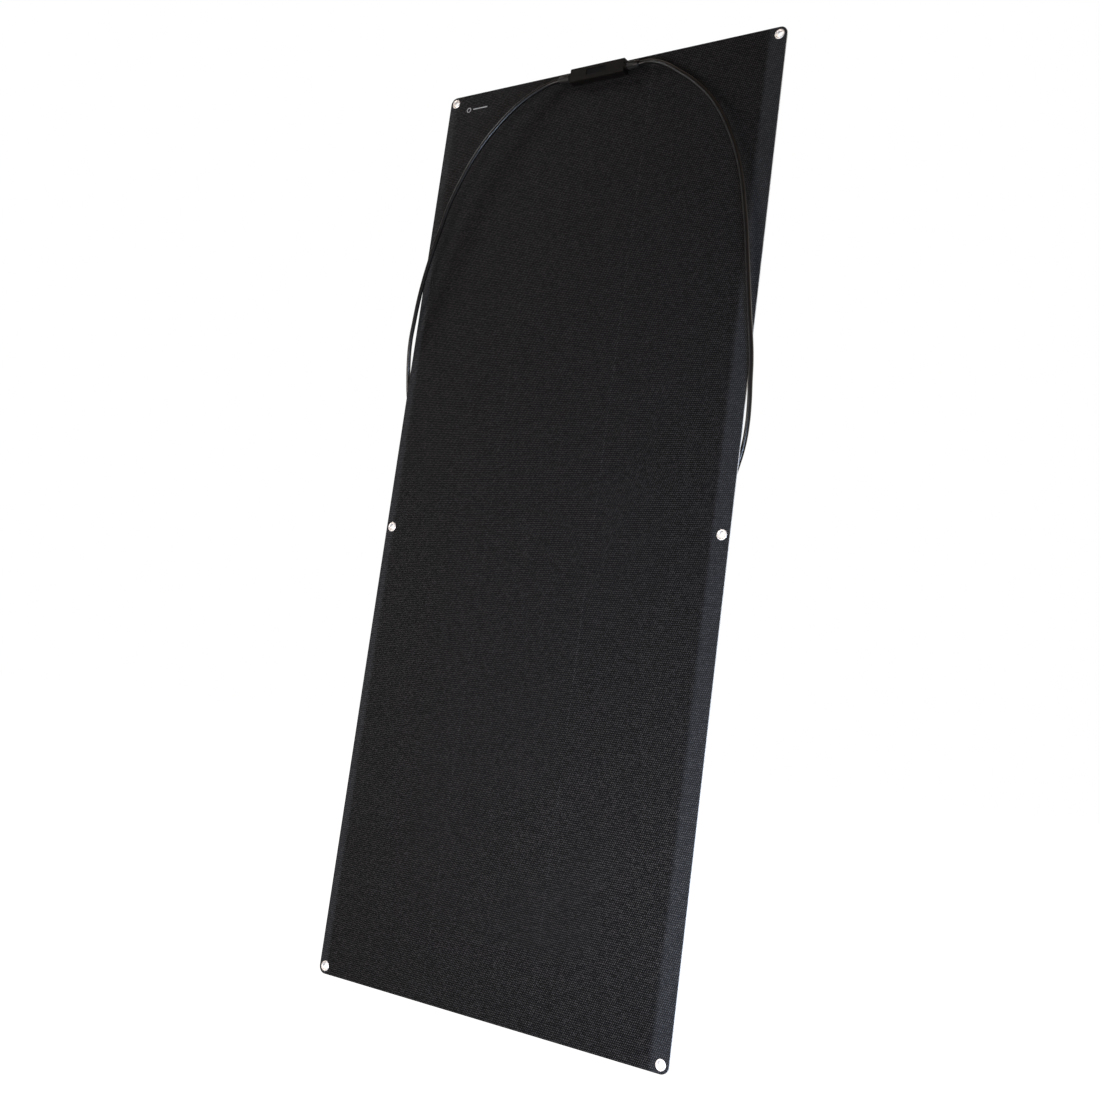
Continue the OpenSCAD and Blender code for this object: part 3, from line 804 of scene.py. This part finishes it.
def metal_finishes():
    """Nickel, tin, brass, zinc and silver."""
    # The nickel's peach tint is partly a painted warm reflection.
    nickel = grained("satin_nickel", (0.90, 0.80, 0.72), (0.96, 0.89, 0.82),
                     4 * MM, 0.5 * MM, 0.012 * MM, (0.3, 0.44), Metallic=0.45)
    nickel.cover("eyelet_shells", "eyelet_washers")
    tin = grained("tinned_ribbon", (0.60, 0.60, 0.59), (0.74, 0.74, 0.72),
                  20 * MM, 0.4 * MM, 0.01 * MM, (0.25, 0.4), (1, 1, 0.1), Metallic=1.0)
    tin.cover("top_bus_ribbon", "bottom_bus_ribbon", "return_ribbon")
    brass = grained("machined_brass", (0.62, 0.45, 0.18), (0.76, 0.58, 0.28),
                    6 * MM, 0.3 * MM, 0.015 * MM, (0.22, 0.38), (1, 1, 6), Metallic=1.0)
    brass.cover("negative_terminal", "positive_terminal")
    zinc = grained("zinc_screw", (0.48, 0.48, 0.50), (0.62, 0.62, 0.62),
                   3 * MM, 0.2 * MM, 0.012 * MM, (0.25, 0.4), Metallic=1.0)
    zinc.cover("terminal_screws")
    silver = grained("silvered_contact", (0.74, 0.74, 0.72), (0.84, 0.84, 0.83),
                     5 * MM, 0.25 * MM, 0.008 * MM, (0.14, 0.26), (1, 1, 5), Metallic=1.0)
    silver.cover("plug_pin", "socket_contact")


jacket_finish()
film_finish()
mark_finish()
board_finish()
cell_finish()
diode_finish()
strand_finish()
lid_finish()
plastic_finishes()
metal_finishes()


# ------------------------------------------------------------------ stage

FLOOR_Z = -1.0
FLOOR_HALF = 60

# The light that the room gives, and the two sides where it changes.
ROOM_BRIGHT = (0.32, 0.24, 0.18)
ROOM_DARK = (0.0, 0.0, 0.0)
ROOM_BEHIND = (1.5, 1.42, 1.34)
MIRROR_SIDE = (-0.62, -0.78, 0.1)
BACK_SIDE = (0.2, 1, 0)


def towards(tree, direction, low, high):
    """0 to 1 as the cosine of the angle to a direction rises from low to high."""
    facing = tree.nodes.new("ShaderNodeVectorMath")
    facing.operation = "DOT_PRODUCT"
    facing.inputs[1].default_value = Vector(direction).normalized()
    tree.links.new(tree.nodes.new("ShaderNodeTexCoord").outputs["Generated"], facing.inputs[0])
    share = tree.nodes.new("ShaderNodeMapRange")
    share.interpolation_type = "SMOOTHSTEP"
    tree.links.new(facing.outputs["Value"], share.inputs["Value"])
    share.inputs["From Min"].default_value = low
    share.inputs["From Max"].default_value = high
    return share.outputs[0]


def mixed(tree, share, first, second):
    """Blends a colour or an output with a plain colour, by the share of the second."""
    mix = tree.nodes.new("ShaderNodeMix")
    mix.data_type = "RGBA"
    tree.links.new(share, mix.inputs["Factor"])
    if isinstance(first, bpy.types.NodeSocket):
        tree.links.new(first, mix.inputs["A"])
    else:
        mix.inputs["A"].default_value = (*first, 1)
    mix.inputs["B"].default_value = (*second, 1)
    return mix.outputs["Result"]


def white_to_camera(tree, given):
    """White where it is seen directly, and another colour for the light it gives."""
    path = tree.nodes.new("ShaderNodeLightPath")
    return mixed(tree, path.outputs["Is Camera Ray"], given, (1, 1, 1))


def add_floor():
    """A wide pale floor, bright enough to run into the white behind it."""
    corners = [(-FLOOR_HALF, -FLOOR_HALF, 0), (FLOOR_HALF, -FLOOR_HALF, 0),
               (FLOOR_HALF, FLOOR_HALF, 0), (-FLOOR_HALF, FLOOR_HALF, 0)]
    mesh = bpy.data.meshes.new("floor")
    mesh.from_pydata(corners, [], [(0, 1, 2, 3)])
    floor = bpy.data.objects.new("floor", mesh)
    floor.location.z = FLOOR_Z
    bpy.context.collection.objects.link(floor)
    finish = Finish("pale_floor", (0.15, 0.15, 0.15), 0.9, Specular_IOR_Level=0.0,
                    Emission_Strength=1.0)
    finish.feed("Emission Color", white_to_camera(finish.tree, (0.02, 0.02, 0.02)))
    finish.cover(floor)


def add_softbox(name, place, aim, size, watts, colour=(1, 1, 1)):
    """A soft rectangular lamp at a place, turned towards a point."""
    data = bpy.data.lights.new(name, "AREA")
    data.shape = "RECTANGLE"
    data.size, data.size_y = size
    data.energy = watts
    data.color = colour
    lamp = bpy.data.objects.new(name, data)
    lamp.location = place
    lamp.rotation_mode = "QUATERNION"
    lamp.rotation_quaternion = (Vector(aim) - Vector(place)).to_track_quat("-Z", "Y")
    bpy.context.collection.objects.link(lamp)


def add_world():
    """White where it is seen; its light is dark on the film's mirror side, bright behind."""
    world = bpy.data.worlds.new("studio")
    bpy.context.scene.world = world
    world.use_nodes = True
    tree = world.node_tree
    room = mixed(tree, towards(tree, MIRROR_SIDE, 0.1, 0.7), ROOM_BRIGHT, ROOM_DARK)
    given = mixed(tree, towards(tree, BACK_SIDE, 0.1, 0.6), room, ROOM_BEHIND)
    tree.links.new(white_to_camera(tree, given), tree.nodes["Background"].inputs["Color"])


add_floor()
add_world()

# Each lamp: its place, the point it is turned towards, its size, watts and colour.
add_softbox("corner", (-1.8, -0.8, 1.8), (-0.2, 0, 0.5), (0.6, 0.6), 11)
add_softbox("left", (-2.6, -1.2, 0.2), (0, 0, 0), (1.1, 1.3), 15)
add_softbox("front", (-0.6, -3.0, 0.6), (0, 0, 0), (1.5, 1.5), 3)
add_softbox("low", (-0.8, -2.6, -0.7), (0.2, 0, -0.4), (1.6, 0.5), 40, (1.06, 0.98, 0.93))
add_softbox("right", (1.0, -0.8, -0.6), (0.2, 0, -0.4), (0.3, 0.3), 21, (0.74, 0.90, 1.18))

bpy.context.scene.view_settings.view_transform = "Standard"
